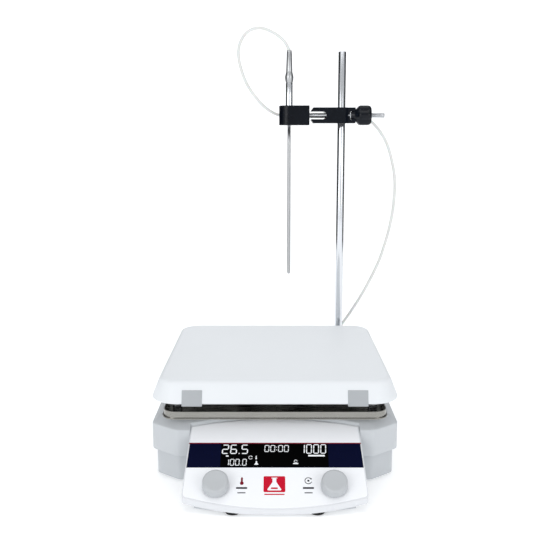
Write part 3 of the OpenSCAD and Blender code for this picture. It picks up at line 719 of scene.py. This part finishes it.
BEVELS = {"upper_housing": 1.0, "base_pan": 0.8, "console_cover": 1.2, "plate_clips": 0.3, "rod_holder": 0.6,
          "rear_plate": 0.2, "mains_inlet": 0.4, "switch_frame": 0.3, "data_port": 0.3, "probe_socket": 0.3,
          "panel_overlay": 0.12, "display_window": 0.12, "magnet_yoke": 0.5, "drive_magnets": 0.6,
          "fuse_drawer": 0.4, "power_rocker": 0.4, "rod_jaw": 0.8, "probe_jaw": 0.8, "heat_tray": 0.3}
for node, width in BEVELS.items():
    softened(node, width)
print("softened copies", len(BEVELS))

# %% [markdown]
# The plate is a deep glazed pan turned upside down: a flat top, a soft rounded edge, and a skirt that
# leans out to a rim. It could be a bevelled box, but a bevel has the same width at the top edge and
# round the corners, and the real glaze pools in a wider curve along the top. So it is a profile
# carried round the rounded square. The skirt is a straight line, and each rounding is an arc whose
# centre is worked out so that the arc meets that line without a kink. The rim's rounding pulls the
# widest point in by 0.8 mm, so the path is that much wider than the plate on each side.

# %% The glazed plate
RIM_Z, PLATE_TOP, PLATE_HALF, PLATE_R = 92.0, 115.0, 130.0 + 0.8, 30.0
LEAN = 7.5 / 19
SKIRT_TURN = math.degrees(math.atan(LEAN))


def against_skirt(height, radius):
    """Offset of an arc's centre at that height: radius away from the skirt's line, measured square to it."""
    return -radius * math.hypot(1, LEAN) - LEAN * (height - RIM_Z)


def glazed_plate(edge=6.0, rim=1.7, wall=5.0):
    """Profile of (offset, height): inner ceiling, inner wall, rounded rim, skirt, rounded top edge."""
    inner = [(-PLATE_R + 3, PLATE_TOP - wall), (-17, PLATE_TOP - wall), (-13.6, PLATE_TOP - wall - 1.2),
             (-12.4, PLATE_TOP - wall - 3.4), (-wall - 0.4, RIM_Z + 0.6)]
    bottom = arc((against_skirt(RIM_Z + rim, rim), RIM_Z + rim), rim, -90, SKIRT_TURN)
    top_z = PLATE_TOP - edge
    top = arc((against_skirt(top_z, edge), top_z), edge, SKIRT_TURN, 90, 10)
    return carried(inner + bottom + top + [(-22, PLATE_TOP)], PLATE_HALF, PLATE_R, 14)


plate = stand_in(grid_piece("glazed_plate", place(glazed_plate()), caps=(True, True)), "ceramic_plate")
print("plate", [round(v / MM) for v in plate.dimensions], "mm")

# %% [markdown]
# The console slopes, so what sits on it needs the slope's own directions. They could be measured on
# the mesh, but the frame already knows them: each knob turns about the panel's normal, and its joint
# gives that axis and a point on it. The uphill direction is square to the normal and to X, and the
# point halfway between the knobs is where everything printed on the panel is measured from.

# %% Where the panel lies
PANEL_OUT = np.array(joints["temp_knob_turn"]["axis"], float)
PANEL_UP = np.array([0, PANEL_OUT[2], -PANEL_OUT[1]])
KNOB_AT = {side: np.array(joints[side + "_knob_turn"]["pos_m"], float) / MM - [0, 0, WORKTOP / MM]
           for side in ("temp", "speed")}
PANEL_MID = (KNOB_AT["temp"] + KNOB_AT["speed"]) / 2
print("panel normal", PANEL_OUT.round(3), "uphill", PANEL_UP.round(3), "middle", PANEL_MID.round(1))

# %% [markdown]
# The knobs and most metal parts were turned on a lathe, and a lathe is how they are made here. A knob
# has a flat foot, a slightly tapered side, a rounded shoulder and a shallow dish on top for the
# finger. The dish is a parabola, so that its highlight is a soft crescent and not a hard ring.

# %% The two knobs
KNOB_R, KNOB_FOOT, KNOB_TOP = 13.5, 1.6, 11.6


def knob_profile(dish=0.55, hollow_r=4.6, hollow_deep=4.6, shoulder=2.6):
    """Profile of (radius, height): hollow for the shaft, foot, tapered side, rounded shoulder, and
    a dish of depth * (1 - (r / R)2)."""
    side = [(hollow_r, KNOB_FOOT + hollow_deep), (hollow_r, KNOB_FOOT), (KNOB_R - 1.0, KNOB_FOOT)]
    side += arc((KNOB_R - 0.7, KNOB_FOOT + 0.7), 0.7, -80, 0, 3)
    side += arc((KNOB_R - 0.5 - shoulder, KNOB_TOP - shoulder), shoulder, 3, 90, 9)
    rim = KNOB_R - 0.5 - shoulder
    r = np.linspace(rim - 0.8, 0.2, 10)
    return side + [(float(a), float(KNOB_TOP - dish * (1 - (a / rim)**2))) for a in r]


for side in ("temp", "speed"):
    knob = turned_piece(side + "_knob_body", knob_profile(), KNOB_AT[side], PANEL_OUT, 96)
    stand_in(knob, side + "_knob")
print("knobs", round(2 * KNOB_R, 1), "mm wide")

# %% [markdown]
# The support rod is a plain polished bar with a small chamfer. The probe is a thin sheath with a round
# tip that grows into a thicker handle, then a swaged ferrule and a tapering sleeve that grips the
# cord. Each of them is one profile: the ferrule's bulge is half a sine wave on the handle's radius,
# with its flanks made steeper by a power.

# %% Rod and probe
ROD_AT, ROD_R, ROD_Z = (87, 145), 5.0, (37.1, 472.0)
PROBE_AT, SHEATH_R, HANDLE_R = (18.5, 145), 2.0, 4.5
TIP_Z, HANDLE_Z, FERRULE_Z, SLEEVE_Z, SLEEVE_TOP = 181.0, 379.5, 433.0, 446.0, 473.5


def bar_profile(radius, low, high, chamfer):
    """A bar from low to high with a 45 degree chamfer at both ends."""
    return [(AXIS_R, low), (radius - chamfer, low), (radius, low + chamfer),
            (radius, (low + high) / 2), (radius, high - chamfer), (radius - chamfer, high), (AXIS_R, high)]


def ferrule_profile(bulge=1.0):
    """Radius = handle radius + bulge * (sin(pi t) to the power 1.3) - 0.4 t2, for t from 0 at the
    handle to 1 at the sleeve."""
    t = np.linspace(0, 1, 22)
    r = HANDLE_R + bulge * np.sin(np.pi * t) ** 1.3 - 0.4 * t**2
    z = FERRULE_Z + t * (SLEEVE_Z - FERRULE_Z)
    return [(AXIS_R, FERRULE_Z), *zip(r.tolist(), z.tolist()), (AXIS_R, SLEEVE_Z)]


def sheath_profile():
    """A quarter circle, which turns into a round tip, then a straight side up to the handle."""
    tip = arc((0, TIP_Z + SHEATH_R), SHEATH_R, -88, 0, 10)
    return tip + [(SHEATH_R, z) for z in np.linspace(TIP_Z + 6, HANDLE_Z, 8)] + [(AXIS_R, HANDLE_Z)]


def sleeve_profile(low_r=4.0, top_r=3.1, lip=0.25):
    """A cone with a small rolled lip at its open end, turned in to the cord."""
    cone = [(AXIS_R, SLEEVE_Z), (low_r, SLEEVE_Z), (low_r, SLEEVE_Z + 1)]
    cone += [(top_r + 0.1, SLEEVE_TOP - 2.2), (top_r - lip, SLEEVE_TOP - 1.8), (top_r, SLEEVE_TOP - 1.2)]
    return cone + [(top_r, SLEEVE_TOP - 0.3), (top_r - 0.3, SLEEVE_TOP), (CORD_D / 2, SLEEVE_TOP - 0.2)]


stand_in(turned_piece("rod_bar", bar_profile(ROD_R, *ROD_Z, 0.8), (*ROD_AT, 0), steps=64), "support_rod")
probe_base = (*PROBE_AT, 0)
stand_in(turned_piece("probe_needle", sheath_profile(), probe_base, steps=40), "probe_sheath")
handle = bar_profile(HANDLE_R, HANDLE_Z, FERRULE_Z, 0.5)
stand_in(turned_piece("probe_grip", handle, probe_base, steps=56), "probe_handle")
stand_in(turned_piece("probe_collar", ferrule_profile(), probe_base, steps=56), "probe_ferrule")
stand_in(turned_piece("probe_neck", sleeve_profile(), probe_base, steps=48), "probe_sleeve")
print("rod", round(ROD_Z[1] - ROD_Z[0], 1), "mm, probe", round(SLEEVE_TOP - TIP_Z, 1), "mm long")

# %% [markdown]
# A thread is a turned bar whose radius depends on both the angle and the height: where the height
# divided by the pitch, less the share of a full turn, is a whole number, the bar is at its crest. Six
# rows to a pitch are enough for clean flanks. The knob that runs on it has six soft lobes: its radius
# is a core plus a lobe height times a rounded cosine of three times the angle. Its back slopes in to
# a narrow hub, so that fingers reach round it.

# %% Stud, washer and clamp knob
STUD_Y, STUD_Z, STUD_R, STUD_X = 136.0, 391.0, 3.0, (26.0, 142.0)
STUD_L = STUD_X[1] - STUD_X[0]
PITCH, THREAD_DEPTH = 1.0, 0.36
HEAD_X, HEAD_L, LOBES, LOBE_R, CORE_R, BORE_R = 106.0, 19.0, 6, 13.5, 11.4, 3.08


def thread_radius(angle, height):
    """1 - depth * (distance of height / pitch - angle / 2 pi from a whole number) * 2 / radius. The
    distance is zero at a crest and a half in a root, and the two ends run out to a plain bar."""
    phase = height / PITCH - angle / (2 * np.pi)
    away = np.abs(phase - np.round(phase)) * 2
    fade = np.clip((height - 1.5) / 2, 0, 1) * np.clip((STUD_L - 1.5 - height) / 2, 0, 1)
    return 1 - THREAD_DEPTH / STUD_R * away * fade


def lobed_radius(angle, height):
    """(core + lobe * |cos(3 a)| to the power 0.8) / lobe radius on the head, and 1 on the hub and
    in the lower bore."""
    lobe = CORE_R + (LOBE_R - CORE_R) * np.abs(np.cos(LOBES / 2 * angle)) ** 0.8
    return np.where(height > HEAD_X - 0.5, lobe / LOBE_R, 1 + 0 * angle)


def knob_loop():
    """Closed profile of the clamp knob: up the bore, over the outer face and its shoulder, down the
    sloping back to the hub."""
    hub_x, hub_r = 98.3, 4.8
    end = HEAD_X + HEAD_L
    bore = [(BORE_R, hub_x), (BORE_R, HEAD_X - 1), (BORE_R, HEAD_X - 0.6)]
    face = [(BORE_R + 0.8, end - 0.9), (BORE_R + 1.8, end - 0.6), (LOBE_R - 6.4, end - 0.3)]
    shoulder = arc((LOBE_R - 5.0, end - 5.2), 5.0, 80, 0, 9)
    back = arc((LOBE_R - 4.0, HEAD_X + 5.0), 4.0, 0, -50, 6)
    hub = [(hub_r + 2.6, HEAD_X - 1.6), (hub_r + 0.8, HEAD_X - 3.6)]
    hub += [(hub_r, hub_x + 0.8), (hub_r - 0.5, hub_x)]
    return bore + face + shoulder + back + hub


rows = np.arange(0, STUD_L - 0.7, PITCH / 6)
stud_profile = [(AXIS_R, 0), (STUD_R - 0.5, 0)] + [(STUD_R, float(h)) for h in rows + 0.5]
stud_profile += [(STUD_R - 0.5, STUD_L), (AXIS_R, STUD_L)]
along_x = (1, 0, 0)
stud = turned_piece("threaded_stud", stud_profile, (STUD_X[0], STUD_Y, STUD_Z), along_x, 28, thread_radius)
stand_in(stud, "clamp_stud")
knob_grid = place(turned(knob_loop(), (0, STUD_Y, STUD_Z), along_x, 96, lobed_radius))
stand_in(grid_piece("lobed_clamp_knob", knob_grid, wrap_rows=True), "clamp_knob")
softened("clamp_washer", 0.15)
print("thread of", round(len(rows) / 6), "turns")

# %% [markdown]
# Everything printed on the panel is made as very thin plates on top of the film, a few hundredths of
# a millimetre thick. That keeps the print sharp at any distance and needs no image. A plate is an
# outline given twice, low and high, with a side between them. Prints lie in layers, as real ones do:
# layer 0 is on the film, layer 1 on layer 0, and so on. All plates of one ink are joined into one
# piece.

# %% Thin plates on the panel
FILM_TOP = 0.42
INK = 0.03


def on_panel(flat, height):
    """Point = panel middle + x * right + v * uphill + height * out of the panel."""
    flat = np.asarray(flat, float)
    return PANEL_MID + flat[:, :1] * np.array([1.0, 0, 0]) + flat[:, 1:] * PANEL_UP + height * PANEL_OUT


def plate_part(outline, layer=0):
    """Vertices and faces of a plate over an outline of (x, v) points, in one layer of ink."""
    n = len(outline)
    low = FILM_TOP + layer * INK
    points = np.concatenate([on_panel(outline, low), on_panel(outline, low + INK)])
    sides = [(i, (i + 1) % n, n + (i + 1) % n, n + i) for i in range(n)]
    return points, sides + [tuple(range(n - 1, -1, -1)), tuple(range(n, 2 * n))]


def joined_piece(name, parts, smooth=True):
    """One piece from many closed parts, each its points and its faces. A part's faces are numbered on
    from the points of the parts before it."""
    starts = np.cumsum([0] + [len(points) for points, _ in parts[:-1]])
    faces = [[int(i + start) for i in face] for (_, part_faces), start in zip(parts, starts)
             for face in part_faces]
    points = place(np.concatenate([points for points, _ in parts]))
    return link_piece(outward(mesh_from(name, points, faces, smooth)), name)


def print_piece(name, parts, material):
    """One piece from many plates, in one ink."""
    piece = joined_piece(name, parts, smooth=False)
    piece.data.materials.append(material)
    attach(piece, "stirrer")
    return piece


def circle(centre, radius, steps):
    """Points centre + radius * (cos a, sin a)."""
    a = np.linspace(0, 2 * np.pi, steps, endpoint=False)
    return np.stack([centre[0] + radius * np.cos(a), centre[1] + radius * np.sin(a)], 1)


def box_outline(centre, width, height, corner=0.0, steps=5):
    """A rectangle's outline. Its corners are quarter circles of radius corner."""
    if corner == 0:
        return np.array(centre) + CORNERS * [width / 2, height / 2]
    _, out = rounded_square(0, 0, steps)
    turn = np.repeat(CORNERS, steps + 1, 0)
    return np.array(centre) + turn * [width / 2 - corner, height / 2 - corner] + corner * out


# %% [markdown]
# The figures on the display are seven-segment ones, as on any laboratory display. A segment is a bar
# with pointed ends, so that two segments meet at a mitre with a thin dark gap. A digit is a choice of
# the seven bars, and a reading is a row of digits, so all four readings come from one function.

# %% Readings on the display
BARS = {"0": "abcdef", "1": "bc", "2": "abged", "5": "afgcd", "6": "afgedc"}
DIGIT_SHARE = 0.82  # how much of its place a digit fills
DOT_PLACE = 0.34  # how much of a digit's place a point or a colon takes


def segment(start, end, stroke, gap=0.12):
    """Six points of a bar with pointed ends: the ends, and four points half a stroke in and to the side."""
    a, b = np.array(start, float), np.array(end, float)
    d = (b - a) / np.linalg.norm(b - a)
    side = np.array([-d[1], d[0]]) * stroke / 2
    a, b, step = a + d * gap, b - d * gap, d * stroke / 2
    return np.array([a, a + step + side, b - step + side, b, b - step - side, a + step - side])


def digit_parts(figure, left, low, width, height, stroke, slant=0.05):
    """The lit bars of one digit. Each point is moved right by slant times its height."""
    x0, x1 = left + stroke / 2, left + width - stroke / 2
    y0, ym, y1 = low + stroke / 2, low + height / 2, low + height - stroke / 2
    ends = {"a": ((x0, y1), (x1, y1)), "b": ((x1, ym), (x1, y1)), "c": ((x1, y0), (x1, ym)),
            "d": ((x0, y0), (x1, y0)), "e": ((x0, y0), (x0, ym)), "f": ((x0, ym), (x0, y1)),
            "g": ((x0, ym), (x1, ym))}
    shear = np.array([[1, 0], [slant, 1]])
    middle = np.array([0, low + height / 2])
    return [plate_part((segment(*ends[bar], stroke) - middle) @ shear + middle, layer=1)
            for bar in BARS[figure]]


def reading(text, centre, width, height, stroke):
    """A row of digits of equal pitch, with points and colons between them."""
    places = [DOT_PLACE if c in ".:" else 1.0 for c in text]
    pitch = width / (sum(places) - (1 - DIGIT_SHARE))
    left, low, parts = centre[0] - width / 2, centre[1] - height / 2, []
    for c, share in zip(text, places):
        if c in BARS:
            parts += digit_parts(c, left, low, pitch * DIGIT_SHARE, height, stroke)
        else:
            at = [low + stroke / 2] if c == "." else [low + height * 0.3, low + height * 0.7]
            dot_x = left + pitch * 0.08
            parts += [plate_part(circle((dot_x, y), stroke * 0.55, 12), layer=1) for y in at]
        left += pitch * share
    return parts


def lit_segments():
    """White light from behind the film: a dim glow with a faint unevenness."""
    f = Finish("lit segments", (0.80, 0.82, 0.84), 0.4)
    f.set("Emission Color", (0.9, 0.93, 1.0, 1)).set("Emission Strength", 0.12)
    f.tint(f.noise(900, 2), 0.05)
    f.rough(f.noise(900, 2), 0.35, 0.45)
    return f.mat


def ink(name, colour):
    """Screen-printed ink, a little raised and satin."""
    f = Finish(name, colour, 0.4, specular=0.1)
    f.tint(f.noise(1200, 3), 0.06)
    f.rough(f.noise(1200, 3), 0.34, 0.48)
    f.bump(f.noise(1800, 2), 0.00001, 0.5)
    return f.mat


LIT, DARK_INK = lit_segments(), ink("dark ink", (0.03, 0.03, 0.04))
RED_INK = ink("red ink", (0.58, 0.002, 0.025))
DARK_RED_INK = ink("dark red ink", (0.19, 0.004, 0.018))
WINDOW_MID, WINDOW_SIZE = (-0.5, 35.6), (110, 27.6)
window = plate_part(box_outline(WINDOW_MID, *WINDOW_SIZE))
print_piece("display_area", [window], FINISH["lcd_black"])
figures = reading("26.5", (-41, 42.8), 26.7, 11.2, 1.15) + reading("100.0", (-40, 27.4), 22.4, 7.8, 0.75)
figures += reading("00:00", (1.7, 43.7), 25.0, 8.2, 0.8) + reading("1000", (38.7, 43.2), 27.9, 11.3, 1.05)
print_piece("display_figures", figures, LIT)
print("bars and dots", len(figures))

# %% [markdown]
# Small pictograms stand beside the readings and the knobs: a thermometer for heating, a turning arrow
# for stirring. They are generic signs that any instrument could carry. Where the panel has words,
# plain bars of the same length keep its balance. Each sign is an outline from arcs and straight runs.

# %% Pictograms


def flask(centre, size):
    """Outline of a conical flask: lip, neck, a straight slope each side, and rounded bottom corners."""
    neck = [(0.20, 0.50), (0.20, 0.44), (0.13, 0.44), (0.13, 0.16)]
    corner = [(0.40 + 0.07 * math.cos(t), -0.41 + 0.07 * math.sin(t))
              for t in np.radians([25, 0, -30, -60, -90])]
    half = np.array(neck + corner)
    return np.array(centre) + size * np.concatenate([half, half[::-1] * [-1, 1]])


def turning_arrow(centre, radius, width, layer=0):
    """A ring that is open by a fifth, as one plate, and a pointed head at its start."""
    a = np.radians(np.linspace(50, 340, 30))
    spin = np.stack([np.cos(a), np.sin(a)], 1)
    band = np.concatenate([spin * radius, spin[::-1] * (radius - width)]) + centre
    tip = math.radians(50)
    inner, middle, outer = radius - width * 1.9, radius - width / 2, radius + width * 0.9
    head = np.array([[outer, 0], [inner, 0], [middle, -width * 2.4]])
    turn = np.array([[math.cos(tip), math.sin(tip)], [-math.sin(tip), math.cos(tip)]])
    return [plate_part(band, layer), plate_part(head @ turn + centre, layer)]


def thermometer(x, low_v, height, width, layer=0):
    """A stem with a round top over a round bulb, as one outline."""
    bulb = width / 2
    stem = bulb * 0.52
    a = np.radians(np.linspace(122, 418, 22))
    ball = np.stack([x + bulb * np.cos(a), low_v + bulb + bulb * np.sin(a)], 1)
    cap = np.array(arc((x, low_v + height - stem), stem, 0, 180, 8))
    return plate_part(np.concatenate([ball, cap]), layer)


STIR_SIGN_AT = (33.2, 6.2)
knob_signs = [plate_part(box_outline((x, v), width, height, height * 0.3))
              for x in (-33, 33) for v, width, height in ((-1.9, 11, 2.0), (-7.2, 8, 1.1))]
knob_signs += turning_arrow(STIR_SIGN_AT, 3.8, 0.8) + [plate_part(circle(STIR_SIGN_AT, 1.1, 16))]
print_piece("knob_signs", knob_signs, DARK_INK)
print_piece("heat_sign", [thermometer(-33, 1.5, 8.6, 3.8)], DARK_RED_INK)
print_piece("band_line", [plate_part(box_outline((0, 50.1), 178.2, 1.2))], DARK_RED_INK)
signs = [thermometer(-19.2, 30.9, 4.2, 1.7, layer=1),
         plate_part(box_outline((42.4, 35.2), 17, 1.9, 0.6), layer=1),
         plate_part(box_outline((-48.8, 34.7), 2.8, 1.5, 0.4), layer=1),
         plate_part(flask((-18.9, 26.6), 4.4), layer=1),
         plate_part(box_outline((21.0, 25.9), 5.4, 1.3, 0.6), layer=1)]
signs += turning_arrow((-25.0, 32.9), 2.1, 0.5, layer=1) + turning_arrow((21.0, 28.6), 1.7, 0.45, layer=1)
print_piece("display_signs", signs, LIT)
print("signs on the panel", len(knob_signs), "and on the display", len(signs))

# %% [markdown]
# Between the knobs sits a badge. This one names nobody: a red tile, a white flask with a stir bar in
# it, and a plain underline. It could be one mesh with three materials, but three pieces in three
# layers are simpler to make and can be left out one by one.

# %% The badge
BADGE_X, BADGE_V = -0.6, 2.4
tile = box_outline((BADGE_X, BADGE_V), 21.6, 17.8, 1.2)
stir_bar = box_outline((BADGE_X, BADGE_V - 4.6), 7.0, 1.8, 0.85)
underline = box_outline((BADGE_X, -8.9), 20, 1.3, 0.5)
for name, outline, layer, material in (
        ("badge_tile", tile, 0, RED_INK),
        ("badge_flask", flask((BADGE_X, BADGE_V), 14.6), 1, FINISH["film_white"]),
        ("badge_stir_bar", stir_bar, 2, RED_INK),
        ("badge_underline", underline, 0, RED_INK)):
    print_piece(name, [plate_part(outline, layer)], material)
print("badge", [round(v, 1) for v in np.ptp(tile, axis=0)], "mm")

# %% [markdown]
# Feet and screws are small, but they are what tells a real appliance from a block. A foot is a rubber
# disc with a rounded edge and a groove round its underside, and a screw is a turned head whose inner
# rows follow a hexagon in place of a circle, which makes the socket for the driver.

# %% Feet and screws


def capped_part(points):
    """Points and faces of a grid whose columns wrap round and whose first and last rows are closed."""
    rows, columns = points.shape[:2]
    faces = grid_faces(rows, columns).tolist()
    faces += [list(range(columns)), list(range((rows - 1) * columns, rows * columns))]
    return points.reshape(-1, 3), faces


def foot_profile(radius=7.5, height=3.0):
    """Outer side, rounded edge, a ring-shaped groove 0.6 mm deep underneath, and a flat middle."""
    edge = arc((radius - 1.0, 1.0), 1.0, 0, -90, 4)
    groove = [(5.2, 0), (4.9, 0.6), (3.9, 0.6), (3.6, 0), (AXIS_R, 0)]
    return [(AXIS_R, height), (radius - 0.6, height), (radius, height - 0.5)] + edge + groove


def screw_profile(head_r, height, socket_r, depth):
    """A head from its underside to its top, then down into a socket."""
    head = [(AXIS_R, 0), (head_r - 0.2, 0), (head_r, 0.2), (head_r, height - 0.5),
            (head_r - 0.15, height - 0.2), (head_r - 0.5, height)]
    socket = [(socket_r + 0.12, height), (socket_r, height - 0.12), (socket_r, height - depth)]
    return head + socket + [(AXIS_R, height - depth)]


def hex_socket(angle, height):
    """Radius factor cos 30 / cos(angle from the nearest flat's middle), on a screw's last four rows
    alone, which are its socket."""
    from_flat = (angle + np.pi / 6) % (np.pi / 3) - np.pi / 6
    hexagon = math.cos(math.pi / 6) / np.cos(from_flat)
    in_socket = np.zeros((len(height), 1))
    in_socket[-4:] = 1
    return 1 + (hexagon - 1) * in_socket


FEET = [(-41.5, -182), (41.5, -182), (-105, 100), (105, 100)]
UNDER_SCREWS = [(x, y, 3.0) for x in (-110, 110) for y in (-85, 0, 80)]
REAR_SCREWS = [(x, 136.2, z) for x in (-101.5, 67.5) for z in (20, 50)]
DOWN, BACK = (0, 0, -1), (0, 1, 0)
feet = [capped_part(turned(foot_profile(), (x, y, 0), steps=40)) for x, y in FEET]
stand_in(joined_piece("rubber_feet", feet), "feet")
heads = [capped_part(turned(screw_profile(3.5, 1.6, 1.6, 1.1), at, DOWN, 36, hex_socket))
         for at in UNDER_SCREWS]
heads += [capped_part(turned(screw_profile(2.0, 1.4, 1.0, 0.8), at, BACK, 36, hex_socket))
          for at in REAR_SCREWS]
stand_in(joined_piece("screw_heads", heads), "housing_screws")
print("feet", len(feet), "screws", len(heads))
